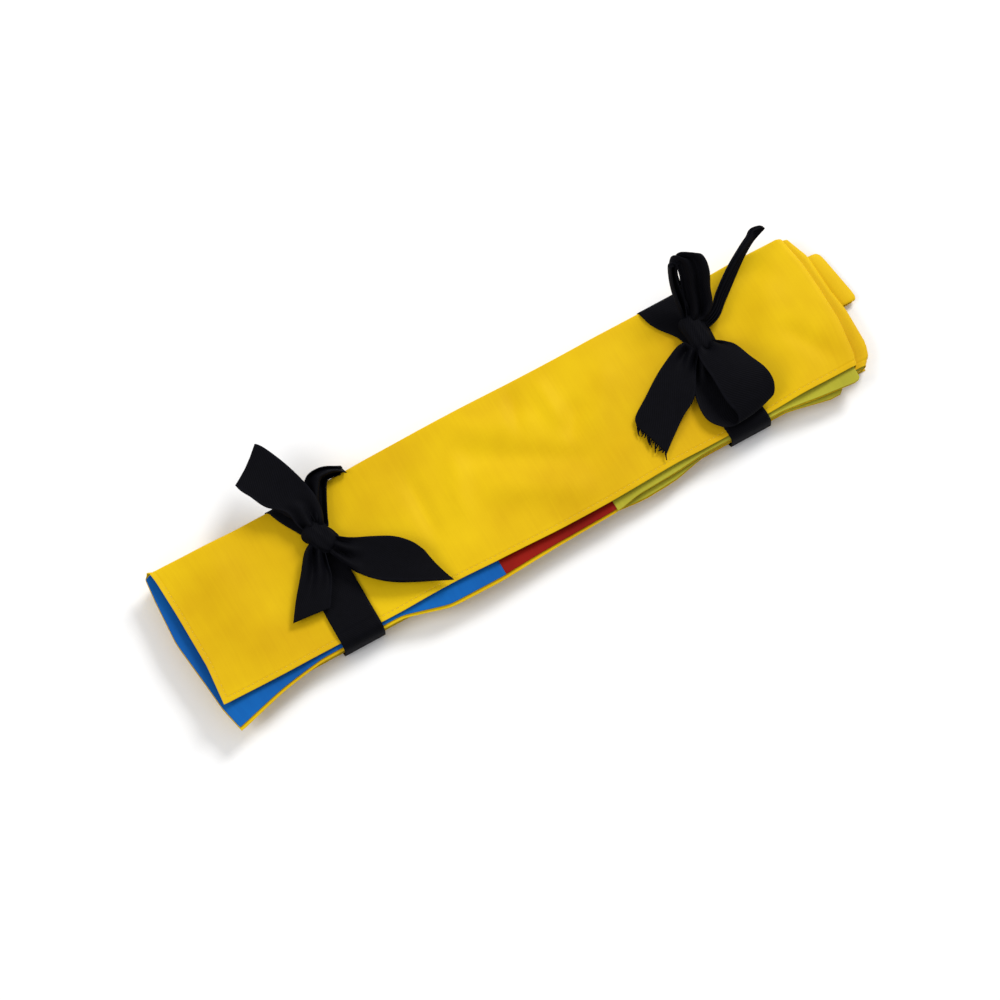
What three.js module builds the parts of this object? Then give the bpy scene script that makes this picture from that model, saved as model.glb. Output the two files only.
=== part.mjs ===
// A long two-sided cloth sash, folded in half lengthwise, then back and forth into a flat
// bundle, and tied with two ribbon bows. Millimetres, +X along the bundle, +Y towards the
// lengthwise fold, +Z up, the underside of the bundle on Z = 0.
import * as THREE from 'three';

// ---- Driving dimensions -------------------------------------------------------------
const RUN_LENGTH = 397.5;      // one run of the folded sash, between its turns
const LEFT_END = -200;         // hemmed free end of the sash
const FOLD_Y = 42.5;           // outside of the lengthwise fold
const OUTER_THICKNESS = 0.5;   // outer cloth
const LINING_THICKNESS = 0.4;  // lining cloth
const PLY_GAP = 0.38;          // air between two plies, before a tie squeezes them
const HEM_INSET = 1.5;         // lining stops this far inside the hemmed edge
const PANEL_GAP = 0.3;         // between panels that are sewn end to end
const LEAF_PLIES = OUTER_THICKNESS + PLY_GAP + LINING_THICKNESS;
const RUN_THICKNESS = 2 * LEAF_PLIES + PLY_GAP;
const RUN_PITCH = RUN_THICKNESS + PLY_GAP;

// The runs from the top down: how far their two leaves reach towards -Y under a tie, and
// how much further the lower leaf hangs out where nothing squeezes it.
const RUNS = [
  { upper: -43.5, lower: -47.2, gape: 7.8 },
  { upper: -46.0, lower: -47.2, gape: 5.8 },
  { upper: -45.0, lower: -45.5, gape: 1.5 },
  { upper: -44.5, lower: -44.5, gape: 1.0 },
  { upper: -44.0, lower: -44.0, gape: 1.0 },
];
const BUNDLE_HEIGHT = RUNS.length * RUN_PITCH - PLY_GAP;
const INNER_LEFT_END = -194;   // left end of the runs that lie under the free end
const LAST_RUN_EXTRA = 8.5;    // the last run reaches past the others at the right
const CORNER_DROP = 5;         // the lower leaf's free corner hangs out this much more
const CORNER_LEAD = 4;         // and this much further left than the upper leaf
const CORNER_LENGTH = 50;      // over this length of the free end
const BLUE_LENGTH = 174;       // lining panels, from the free end
const RED_LENGTH = 70;

// Ties: where they squeeze the bundle and how much room each has to slide.
const RIBBON_WIDTH = 25;
const RIBBON_THICKNESS = 0.6;
const TIE_SLIDE = 10;
const TIE_X = [-114.5, 126];
const SQUEEZE = 0.84;          // height left under a tie
const SQUEEZE_HALF = RIBBON_WIDTH / 2 + TIE_SLIDE + 1;
const SQUEEZE_FADE = 28;
const BAND_GAP = 0.3;
const THREAD_SIZE = 0.2;
const THREAD_INSET = 3;
const BAND_CORNER = 0.6;       // the band bends round the bundle's corners
const BAND_TOP_GAP = 2 * BAND_GAP + THREAD_SIZE + 0.1;

// End turns: how far each bends past the ends of the runs, from the top down.
const TURN_REACHES = [0.8, 0, 9, 0];
const TURN_CLEARANCE = 0.3;    // a turn is this much thinner than the runs it joins
const TURN_FOLD_INSET = 0.5;   // and stops this far inside the lengthwise fold
const ROLL = { reach: 14.5, near: -10.5, far: 27.5, thickness: 1.0 };

const FOLD_STEPS = 6;          // facets round a fold of the cloth
const TURN_STEPS = 8;          // facets round an end turn
const ROUTE_STEPS = 12;        // stations along a ribbon loop or tail

const COLOURS = {
  yellow: 0xe3c010,
  blue: 0x1464be,
  red: 0xa0140a,
  lime: 0xbcbc3c,
  thread: 0xd9b40c,
  ribbon: 0x0b0b14,
};

function finish(colour) {
  return new THREE.MeshStandardMaterial({ color: COLOURS[colour], roughness: 0.8, metalness: 0 });
}

function named(name, geometry, colour) {
  const mesh = new THREE.Mesh(geometry, finish(colour));
  mesh.name = name;
  return mesh;
}

// ---- Squeeze of the ties ------------------------------------------------------------
// 1 under a tie and over the room it slides in, 0 in the open, smooth in between.
function tieness(x) {
  const near = TIE_X.map((tie) => {
    const past = Math.abs(x - tie) - SQUEEZE_HALF;
    return 1 - THREE.MathUtils.smoothstep(past, 0, SQUEEZE_FADE);
  });
  return Math.max(...near);
}

function squeezed(z, x) {
  const middle = BUNDLE_HEIGHT / 2;
  return middle + (z - middle) * (1 - (1 - SQUEEZE) * tieness(x));
}

// How far into the hanging free corner a place is: 1 at the free end, 0 past the corner.
function cornerness(x) {
  return 1 - THREE.MathUtils.smoothstep(x - LEFT_END, 0, CORNER_LENGTH);
}

// Stations along X, closer together where the squeeze changes.
function stationsBetween(from, to) {
  const marks = new Set([from, to, LEFT_END + CORNER_LENGTH, LEFT_END + CORNER_LENGTH / 2]);
  for (const tie of TIE_X) {
    for (const side of [-1, 1]) {
      for (const part of [0, 0.25, 0.5, 0.75, 1]) {
        marks.add(tie + side * (SQUEEZE_HALF + part * SQUEEZE_FADE));
      }
    }
  }
  return [...marks].filter((x) => x >= from && x <= to).sort((a, b) => a - b);
}

// ---- Closed bodies from rings of points ---------------------------------------------
// Joins rings of equal length into one closed body and caps its two ends. The end rings
// are flat, and their outlines are given in two dimensions for the caps.
function bodyFromRings(rings, outline) {
  const count = rings[0].length;
  const positions = rings.flat(2);
  const triangles = [];
  for (let ring = 0; ring + 1 < rings.length; ring += 1) {
    for (let i = 0; i < count; i += 1) {
      const a = ring * count + i;
      const b = ring * count + ((i + 1) % count);
      triangles.push([a, b, b + count], [a, b + count, a + count]);
    }
  }
  const cap = THREE.ShapeUtils.triangulateShape(outline.map(([u, v]) => new THREE.Vector2(u, v)), []);
  const last = (rings.length - 1) * count;
  const turned = THREE.ShapeUtils.area(outline.map(([u, v]) => new THREE.Vector2(u, v))) < 0;
  for (const [a, b, c] of cap) {
    const face = turned ? [a, b, c] : [a, c, b];
    triangles.push(face, [face[0] + last, face[2] + last, face[1] + last]);
  }
  return facingOut(positions, triangles);
}

// Turns every face over when the body's signed volume says that they point inwards.
function facingOut(positions, triangles) {
  const point = (i) => new THREE.Vector3().fromArray(positions, 3 * i);
  let volume = 0;
  for (const [a, b, c] of triangles) {
    volume += point(a).dot(point(b).cross(point(c)));
  }
  const faces = volume > 0 ? triangles : triangles.map(([a, b, c]) => [a, c, b]);
  const geometry = new THREE.BufferGeometry();
  geometry.setAttribute('position', new THREE.Float32BufferAttribute(positions, 3));
  geometry.setIndex(faces.flat());
  geometry.computeVertexNormals();
  return geometry;
}

// ---- The folded cloth ---------------------------------------------------------------
// Section of a cloth folded in half lengthwise: two leaves joined by a round fold at +Y.
function foldedOutline({ upper, lower, fold, top, bottom, thickness }) {
  const middle = (top + bottom) / 2;
  const radius = (top - bottom) / 2;
  const centre = fold - radius;
  const arc = (r, from, to) => Array.from({ length: FOLD_STEPS + 1 }, (_, i) => {
    const angle = from + ((to - from) * i) / FOLD_STEPS;
    return [centre + r * Math.cos(angle), middle + r * Math.sin(angle)];
  });
  return [
    [upper, top],
    ...arc(radius, Math.PI / 2, -Math.PI / 2),
    [lower, bottom],
    [lower, bottom + thickness],
    ...arc(radius - thickness, -Math.PI / 2, Math.PI / 2),
    [upper, top - thickness],
  ];
}

// One ply of a run. depth 0 is the outer cloth and depth 1 the lining inside it.
function plyBody(index, depth, from, to) {
  const run = RUNS[index];
  const top = BUNDLE_HEIGHT - index * RUN_PITCH;
  const bottom = top - RUN_THICKNESS;
  const inset = depth * (OUTER_THICKNESS + PLY_GAP);
  const thickness = depth === 0 ? OUTER_THICKNESS : LINING_THICKNESS;
  const outlineAt = (x) => {
    const hang = run.gape * (1 - tieness(x)) + (index === 0 ? CORNER_DROP * cornerness(x) : 0);
    return foldedOutline({
      upper: run.upper + depth * HEM_INSET,
      lower: run.lower - hang + depth * HEM_INSET,
      fold: FOLD_Y - inset,
      top: top - inset,
      bottom: bottom + inset,
      thickness,
    });
  };
  const middle = (top + bottom) / 2;
  const lead = (x, z) => (index === 0 && z < middle ? CORNER_LEAD * cornerness(x) : 0);
  const rings = stationsBetween(from, to).map((x) => (
    outlineAt(x).map(([y, z]) => [x - lead(x, z), y, squeezed(z, x)])
  ));
  return bodyFromRings(rings, outlineAt(to));
}

function runSpan(index) {
  const from = index === 0 ? LEFT_END : INNER_LEFT_END;
  const extra = index === RUNS.length - 1 ? LAST_RUN_EXTRA : 0;
  return [from, LEFT_END + RUN_LENGTH + extra];
}

function outerCloth() {
  return RUNS.map((_, index) => {
    const [from, to] = runSpan(index);
    return named(`outer_cloth_run_${index + 1}`, plyBody(index, 0, from, to), 'yellow');
  });
}

function lining() {
  const [from, to] = runSpan(0);
  const redStart = from + BLUE_LENGTH;
  const limeStart = redStart + RED_LENGTH;
  const first = [
    named('lining_panel_blue', plyBody(0, 1, from + HEM_INSET, redStart - PANEL_GAP), 'blue'),
    named('lining_panel_red', plyBody(0, 1, redStart, limeStart - PANEL_GAP), 'red'),
    named('lining_panel_lime_run_1', plyBody(0, 1, limeStart, to), 'lime'),
  ];
  const rest = RUNS.slice(1).map((_, i) => {
    const [start, end] = runSpan(i + 1);
    const hem = i + 2 === RUNS.length ? HEM_INSET : 0;
    return named(`lining_panel_lime_run_${i + 2}`, plyBody(i + 1, 1, start, end - hem), 'lime');
  });
  return [...first, ...rest];
}

// ---- End turns ----------------------------------------------------------------------
// The doubled cloth goes round from one run to the next: a flat U seen from the side.
function turnBody({ x, side, top, bottom, thickness, reach, near, far }) {
  const middle = (top + bottom) / 2;
  const radius = (top - bottom) / 2;
  const start = x + side * BAND_GAP;
  const bend = start + side * reach;
  const arc = (r, from, to) => Array.from({ length: TURN_STEPS + 1 }, (_, i) => {
    const angle = from + ((to - from) * i) / TURN_STEPS;
    return [bend + side * r * Math.cos(angle), middle + r * Math.sin(angle)];
  });
  const outline = [
    [start, top],
    ...arc(radius, Math.PI / 2, -Math.PI / 2),
    [start, bottom],
    [start, bottom + thickness],
    ...arc(radius - thickness, -Math.PI / 2, Math.PI / 2),
    [start, top - thickness],
  ];
  const rings = [near, far].map((y) => outline.map(([px, pz]) => [px, y, pz]));
  return bodyFromRings(rings, outline);
}

function endTurns() {
  return TURN_REACHES.map((reach, index) => {
    const side = index % 2 === 0 ? 1 : -1;
    const top = BUNDLE_HEIGHT - index * RUN_PITCH;
    const geometry = turnBody({
      x: side > 0 ? LEFT_END + RUN_LENGTH : INNER_LEFT_END,
      side,
      top,
      bottom: top - RUN_PITCH - RUN_THICKNESS,
      thickness: RUN_THICKNESS - TURN_CLEARANCE,
      reach,
      near: RUNS[index + 1].upper,
      far: FOLD_Y - TURN_FOLD_INSET,
    });
    return named(`cloth_turn_${index + 1}_${index + 2}`, geometry, 'yellow');
  });
}

// The sash's other end: rolled to a narrower tube that sticks out of the last run.
function rolledEnd() {
  const [, end] = runSpan(RUNS.length - 1);
  return named('rolled_sash_end', turnBody({
    x: end,
    side: 1,
    top: RUN_THICKNESS,
    bottom: 0,
    ...ROLL,
  }), 'yellow');
}

// ---- Hem threads --------------------------------------------------------------------
function longHemThread() {
  const y = RUNS[0].upper + THREAD_INSET;
  const outline = [
    [y, 0],
    [y + THREAD_SIZE, 0],
    [y + THREAD_SIZE, THREAD_SIZE],
    [y, THREAD_SIZE],
  ];
  const from = LEFT_END + THREAD_INSET + 1;
  const rings = stationsBetween(from, LEFT_END + RUN_LENGTH).map((x) => {
    const surface = squeezed(BUNDLE_HEIGHT, x) + BAND_GAP;
    return outline.map(([py, pz]) => [x, py, surface + pz]);
  });
  return named('hem_thread_long_edge', bodyFromRings(rings, outline), 'thread');
}

function endHemThread() {
  const near = RUNS[0].upper + THREAD_INSET;
  const far = FOLD_Y - THREAD_INSET;
  const thread = new THREE.BoxGeometry(THREAD_SIZE, far - near, THREAD_SIZE);
  const x = LEFT_END + THREAD_INSET;
  thread.translate(x, (near + far) / 2, BUNDLE_HEIGHT + BAND_GAP + THREAD_SIZE / 2);
  return named('hem_thread_free_end', thread, 'thread');
}

// ---- Ribbon ties --------------------------------------------------------------------
const TIE_TOP = squeezed(BUNDLE_HEIGHT, TIE_X[0]);
const TIE_BOTTOM = squeezed(0, TIE_X[0]);
const BAND_TOP = TIE_TOP + BAND_TOP_GAP + RIBBON_THICKNESS;
const NEAREST_EDGE = Math.min(...RUNS.map((run) => run.lower));
const KNOT_HALF = [8, 7, 4.2];
const KNOT_Z = BAND_TOP + BAND_GAP + KNOT_HALF[2];

// The ribbon's turn round the bundle.
function bandBody(x) {
  const contour = (grow) => {
    const near = NEAREST_EDGE - BAND_GAP - grow;
    const far = FOLD_Y + BAND_GAP + grow;
    const bottom = TIE_BOTTOM - BAND_GAP - grow;
    const top = TIE_TOP + BAND_TOP_GAP + grow;
    return [
      [near, bottom + BAND_CORNER], [near + BAND_CORNER, bottom],
      [far - BAND_CORNER, bottom], [far, bottom + BAND_CORNER],
      [far, top - BAND_CORNER], [far - BAND_CORNER, top],
      [near + BAND_CORNER, top], [near, top - BAND_CORNER],
    ];
  };
  const shape = new THREE.Shape(contour(RIBBON_THICKNESS).map(([y, z]) => new THREE.Vector2(y, z)));
  shape.holes.push(new THREE.Path(contour(0).map(([y, z]) => new THREE.Vector2(y, z))));
  const body = new THREE.ExtrudeGeometry(shape, { depth: RIBBON_WIDTH, bevelEnabled: false });
  // The shape is drawn in Y and Z, so its two axes and the extrusion are put in their places.
  body.applyMatrix4(new THREE.Matrix4().set(
    0, 0, 1, x - RIBBON_WIDTH / 2,
    1, 0, 0, 0,
    0, 1, 0, 0,
    0, 0, 0, 1,
  ));
  return body;
}

function knotBody(x, y) {
  const body = new THREE.SphereGeometry(1, 14, 8);
  body.scale(...KNOT_HALF);
  body.translate(x, y, KNOT_Z);
  return body;
}

// A loop or tail: a flat strip along a smooth route. Each route point is measured from the
// knot's middle and says how wide the strip is there and how far it is rolled on its edge.
function stripBody(knot, route, thickness) {
  const centre = new THREE.CatmullRomCurve3(route.map(({ at }) => (
    new THREE.Vector3(knot.x + at[0], knot.y + at[1], BAND_TOP + at[2])
  )), false, 'centripetal');
  const along = (key, u) => {
    const place = u * (route.length - 1);
    const before = Math.min(Math.floor(place), route.length - 2);
    return THREE.MathUtils.lerp(route[before][key], route[before + 1][key], place - before);
  };
  const outline = [[-1, -1], [1, -1], [1, 1], [-1, 1]];
  const rings = Array.from({ length: ROUTE_STEPS + 1 }, (_, i) => {
    const u = i / ROUTE_STEPS;
    const tangent = centre.getTangent(u);
    const side = new THREE.Vector3(tangent.y, -tangent.x, 0).normalize();
    side.applyAxisAngle(tangent, THREE.MathUtils.degToRad(along('roll', u)));
    const normal = new THREE.Vector3().crossVectors(side, tangent);
    const middle = centre.getPoint(u);
    return outline.map(([a, b]) => middle.clone()
      .addScaledVector(side, (a * along('width', u)) / 2)
      .addScaledVector(normal, (b * thickness) / 2)
      .toArray());
  });
  return bodyFromRings(rings, outline);
}

const LOOP_THICKNESS = 2.4;
const TAIL_THICKNESS = 0.8;
const TIES = [
  {
    side: 'left',
    knot: { x: -108, y: 14 },
    strips: [
      {
        name: 'loop_far',
        thickness: LOOP_THICKNESS,
        route: [
          { at: [-1, 8.5, 4.5], width: 6, roll: 0 },
          { at: [-1.5, 20, 8], width: 14, roll: 0 },
          { at: [-8, 34, 10.5], width: 22, roll: 0 },
          { at: [-15.5, 52, 11], width: 25, roll: 0 },
        ],
      },
      {
        name: 'loop_near',
        thickness: LOOP_THICKNESS,
        route: [
          { at: [7, -7.5, 4.2], width: 6, roll: 0 },
          { at: [16, -21, 4.6], width: 17, roll: 0 },
          { at: [29, -34, 4.6], width: 24, roll: 0 },
          { at: [46, -50, 3.2], width: 10, roll: 0 },
        ],
      },
      {
        name: 'tail_near',
        thickness: TAIL_THICKNESS,
        route: [
          { at: [-6, -8.5, 3.4], width: 6, roll: 0 },
          { at: [-13, -17, 2.4], width: 13, roll: 0 },
          { at: [-20, -27, 2.0], width: 17, roll: 0 },
          { at: [-27, -38, 2.0], width: 18, roll: 0 },
        ],
      },
      {
        name: 'tail_far',
        thickness: TAIL_THICKNESS,
        route: [
          { at: [6.5, 7, 3.4], width: 5, roll: 0 },
          { at: [9.5, 18, 4.0], width: 11, roll: 0 },
          { at: [16, 27, 3.6], width: 12, roll: 0 },
          { at: [27, 30, 2.6], width: 6, roll: 0 },
        ],
      },
    ],
  },
  {
    side: 'right',
    knot: { x: 131, y: 14 },
    strips: [
      {
        name: 'loop_far',
        thickness: LOOP_THICKNESS,
        route: [
          { at: [3, 8.8, 5], width: 6, roll: 0 },
          { at: [7, 17, 12], width: 14, roll: 0 },
          { at: [10, 26, 21], width: 20, roll: 0 },
          { at: [13, 34, 28], width: 19, roll: 0 },
        ],
      },
      {
        name: 'loop_near',
        thickness: LOOP_THICKNESS,
        route: [
          { at: [2, -8.8, 4.5], width: 6, roll: 0 },
          { at: [1, -20, 6.5], width: 20, roll: 0 },
          { at: [2, -34, 6.5], width: 29, roll: 0 },
          { at: [4, -48, 4], width: 29, roll: 0 },
        ],
      },
      {
        name: 'tail_near',
        thickness: TAIL_THICKNESS,
        route: [
          { at: [-7.5, -6.5, 3.4], width: 6, roll: 0 },
          { at: [-15.5, -12, 2.6], width: 14, roll: 0 },
          { at: [-29, -23, 2.0], width: 22, roll: 0 },
          { at: [-49, -39, 2.0], width: 23, roll: 0 },
        ],
      },
      {
        name: 'tail_far',
        thickness: TAIL_THICKNESS,
        route: [
          { at: [9.5, 4.5, 4], width: 6, roll: 20 },
          { at: [21, 11.5, 6.5], width: 9, roll: 60 },
          { at: [38, 22, 9.5], width: 8, roll: 75 },
          { at: [60, 34, 12.5], width: 8, roll: 80 },
        ],
      },
    ],
  },
];

function ribbonTies() {
  return TIES.flatMap(({ side, knot, strips }, index) => [
    named(`ribbon_${side}_band`, bandBody(TIE_X[index]), 'ribbon'),
    named(`ribbon_${side}_knot`, knotBody(knot.x, knot.y), 'ribbon'),
    ...strips.map(({ name, route, thickness }) => (
      named(`ribbon_${side}_${name}`, stripBody(knot, route, thickness), 'ribbon')
    )),
  ]);
}

// ---- The whole object ---------------------------------------------------------------
const object = new THREE.Group();
object.add(
  ...outerCloth(),
  ...lining(),
  ...endTurns(),
  rolledEnd(),
  longHemThread(),
  endHemThread(),
  ...ribbonTies(),
);

// The origin is under the middle of the whole object, on the surface it lies on.
const extent = new THREE.Box3().setFromObject(object);
const middle = extent.getCenter(new THREE.Vector3());
object.position.set(-middle.x, -middle.y, -extent.min.z);

export default object;
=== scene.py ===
"""A two-sided cloth sash, folded into a flat bundle and tied with two ribbon bows.

The cloth is one folded surface, laid out along the sash and then squeezed and creased as a
whole, so its plies never cross. Lengths are in millimetres in the bundle's own frame (+X along
the bundle, +Y towards the lengthwise fold) until a mesh is made, which is in metres.
"""

import logging
import math
from dataclasses import dataclass, field
from enum import Enum
from typing import Iterable, Sequence

import bpy
import numpy as np
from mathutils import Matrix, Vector


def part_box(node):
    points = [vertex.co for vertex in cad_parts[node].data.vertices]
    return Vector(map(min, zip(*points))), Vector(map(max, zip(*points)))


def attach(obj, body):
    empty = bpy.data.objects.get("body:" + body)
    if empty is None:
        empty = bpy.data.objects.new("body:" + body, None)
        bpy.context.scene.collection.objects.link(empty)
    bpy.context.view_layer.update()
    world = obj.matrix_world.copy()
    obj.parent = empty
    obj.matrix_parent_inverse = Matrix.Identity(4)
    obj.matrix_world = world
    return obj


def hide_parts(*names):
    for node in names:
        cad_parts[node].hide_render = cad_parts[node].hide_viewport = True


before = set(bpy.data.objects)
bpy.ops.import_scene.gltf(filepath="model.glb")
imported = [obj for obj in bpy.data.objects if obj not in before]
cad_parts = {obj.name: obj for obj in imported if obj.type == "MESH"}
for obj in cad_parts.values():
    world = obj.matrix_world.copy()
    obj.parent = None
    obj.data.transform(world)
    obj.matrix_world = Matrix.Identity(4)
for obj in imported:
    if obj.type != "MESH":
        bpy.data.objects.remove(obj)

LOG = logging.getLogger("sash")
MM = 0.001
SEED = 7
WEAVE_MAP = "weave"
FIBRE_IOR = 1.5
RIBBON_WIDTH = 25.0
# A wave texture of scale 1 repeats after this many metres.
WAVE_REPEAT = math.pi / 10
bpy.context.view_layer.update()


# ---- Small helpers ------------------------------------------------------------------------


def linear(hex_colour: str) -> tuple[float, float, float, float]:
    """Turns an sRGB hex colour into the linear colour that shaders use.

    Args:
        hex_colour: Six hex digits, such as "e6c60f".

    Returns:
        Linear red, green and blue, with alpha 1.
    """
    parts = [int(hex_colour[i : i + 2], 16) / 255 for i in (0, 2, 4)]
    curved = [c / 12.92 if c <= 0.04045 else ((c + 0.055) / 1.055) ** 2.4 for c in parts]
    return (*curved, 1.0)


def smoothstep(value: np.ndarray, low: float, high: float) -> np.ndarray:
    """Goes smoothly from 0 at low to 1 at high."""
    part = np.clip((value - low) / (high - low), 0.0, 1.0)
    return part * part * (3.0 - 2.0 * part)


def running_length(steps: np.ndarray) -> np.ndarray:
    """Adds up step lengths, starting from 0."""
    return np.concatenate([[0.0], np.cumsum(steps)])


def spline(points: Sequence[Sequence[float]], places: np.ndarray) -> np.ndarray:
    """Runs a smooth curve through points that are one step apart.

    Args:
        points: The points to pass through, of any dimension.
        places: Where to read the curve, from 0 to the number of points less 1.

    Returns:
        One row for each place.
    """
    knots = np.asarray(points, float)
    ends = np.vstack([2 * knots[0] - knots[1], knots, 2 * knots[-1] - knots[-2]])
    start = np.clip(np.floor(places).astype(int), 0, len(knots) - 2)
    t = (places - start)[:, None]
    p0, p1, p2, p3 = (ends[start + i] for i in range(4))
    return 0.5 * (
        2 * p1
        + (p2 - p0) * t
        + (2 * p0 - 5 * p1 + 4 * p2 - p3) * t**2
        + (3 * p1 - p0 - 3 * p2 + p3) * t**3
    )


def add_node(tree: bpy.types.NodeTree, kind: str, **wiring: object) -> bpy.types.Node:
    """Adds a shader node with its settings and links.

    Args:
        tree: The material's node tree.
        kind: The node's type, without the leading "ShaderNode".
        wiring: Node properties by name, and inputs by name with spaces as underscores (or
            "in_" and a number). An input's value is a number, a colour, another node's output,
            or a node, which gives its first output.

    Returns:
        The new node.
    """
    node = tree.nodes.new("ShaderNode" + kind)
    for name, value in wiring.items():
        if name.startswith("in_"):
            socket = node.inputs[int(name[3:])]
        elif name.replace("_", " ") in node.inputs:
            socket = node.inputs[name.replace("_", " ")]
        else:
            setattr(node, name, value)
            continue
        if isinstance(value, bpy.types.Node):
            value = value.outputs[0]
        if isinstance(value, bpy.types.NodeSocket):
            tree.links.new(value, socket)
        else:
            socket.default_value = value
    return node


def new_material(name: str) -> tuple[bpy.types.Material, bpy.types.NodeTree]:
    """Starts an empty material.

    Args:
        name: The material's name.

    Returns:
        The material and its node tree.
    """
    material = bpy.data.materials.new(name)
    material.use_nodes = True
    material.node_tree.nodes.clear()
    return material, material.node_tree


def blend(
    tree: bpy.types.NodeTree,
    share: bpy.types.Node | bpy.types.NodeSocket,
    first: str,
    second: str,
) -> bpy.types.NodeSocket:
    """Mixes two colours.

    Args:
        tree: The material's node tree.
        share: The node or output that gives the second colour's share.
        first: The first colour, in hex.
        second: The second colour, in hex.

    Returns:
        The mixed colour.
    """
    colours = {"in_6": linear(first), "in_7": linear(second)}
    return add_node(tree, "Mix", data_type="RGBA", in_0=share, **colours).outputs["Result"]


def wave_scale(spacing: float) -> float:
    """The scale at which a wave texture repeats after this many millimetres."""
    return WAVE_REPEAT / (spacing * MM)


# ---- Finishes -----------------------------------------------------------------------------


@dataclass(frozen=True)
class Poplin:
    """Mercerised cotton poplin, piece-dyed and pressed.

    Its fine even threads give a smooth face with a soft sheen at grazing light, and the dye
    takes a little unevenly, which shows as slow changes of depth.
    """

    name: str
    light: str
    deep: str
    # Real threads are 0.25 mm apart. They are drawn at twice that, so that they still show.
    thread_spacing: float = 0.5
    roughness: float = 0.62
    roughness_swing: float = 0.07
    specular: float = 0.1
    sheen: float = 0.12
    bump: float = 0.16
    patch_scale: float = 14.0
    slub: float = 0.14
    dye_range: tuple[float, float] = (0.4, 0.8)

    def build(self) -> bpy.types.Material:
        """Makes the material: dye depth, thread-by-thread colour, and an over-under weave bump.

        Returns:
            The material.
        """
        material, tree = new_material(self.name)
        place = add_node(tree, "TexCoord").outputs["Object"]
        cloth = add_node(tree, "UVMap", uv_map=WEAVE_MAP).outputs["UV"]
        threads = 1.0 / (self.thread_spacing * MM)

        slow = add_node(
            tree, "TexNoise", Vector=place, Scale=self.patch_scale, Detail=3.0, Roughness=0.55
        )
        streaks = add_node(tree, "Mapping", Vector=cloth, Scale=(threads / 3, threads / 60, 1.0))
        slub = add_node(tree, "TexNoise", Vector=streaks, Scale=1.0, Detail=2.0)
        depth = add_node(
            tree, "Math", operation="MULTIPLY_ADD", in_0=slub, in_1=self.slub, in_2=slow
        )
        low, high = self.dye_range
        dye = add_node(tree, "MapRange", Value=depth, From_Min=low, From_Max=high)
        colour = blend(tree, dye, self.light, self.deep)
        weave = WeaveBump(self.thread_spacing, self.bump).build(tree, cloth)
        worn = add_node(
            tree, "MapRange", Value=slow,
            To_Min=self.roughness - self.roughness_swing,
            To_Max=self.roughness + self.roughness_swing,
        )
        shader = add_node(
            tree, "BsdfPrincipled", Base_Color=colour,
            Roughness=worn, IOR=FIBRE_IOR, Specular_IOR_Level=self.specular,
            Sheen_Weight=self.sheen, Sheen_Roughness=0.35, Sheen_Tint=linear(self.light),
            Normal=weave,
        )
        add_node(tree, "OutputMaterial", Surface=shader)
        return material


@dataclass(frozen=True)
class WeaveBump:
    """The over-and-under of a plain weave, as a bump."""

    spacing: float
    strength: float

    def build(self, tree: bpy.types.NodeTree, cloth: bpy.types.NodeSocket) -> bpy.types.NodeSocket:
        """Adds the bump's nodes.

        Args:
            tree: The material's node tree.
            cloth: Where on the cloth the point lies, in metres.

        Returns:
            The bumped normal.
        """
        warp, weft = (
            add_node(
                tree, "TexWave", Vector=cloth, Scale=wave_scale(self.spacing),
                Distortion=0.4, Detail=1.0, bands_direction=direction,
            )
            for direction in ("X", "Y")
        )
        height = add_node(
            tree, "Math", operation="MULTIPLY", in_0=warp.outputs["Fac"],
            in_1=weft.outputs["Fac"],
        )
        bump = add_node(
            tree, "Bump", Strength=self.strength, Distance=0.25 * self.spacing * MM,
            Height=height,
        )
        return bump.outputs[0]


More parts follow.
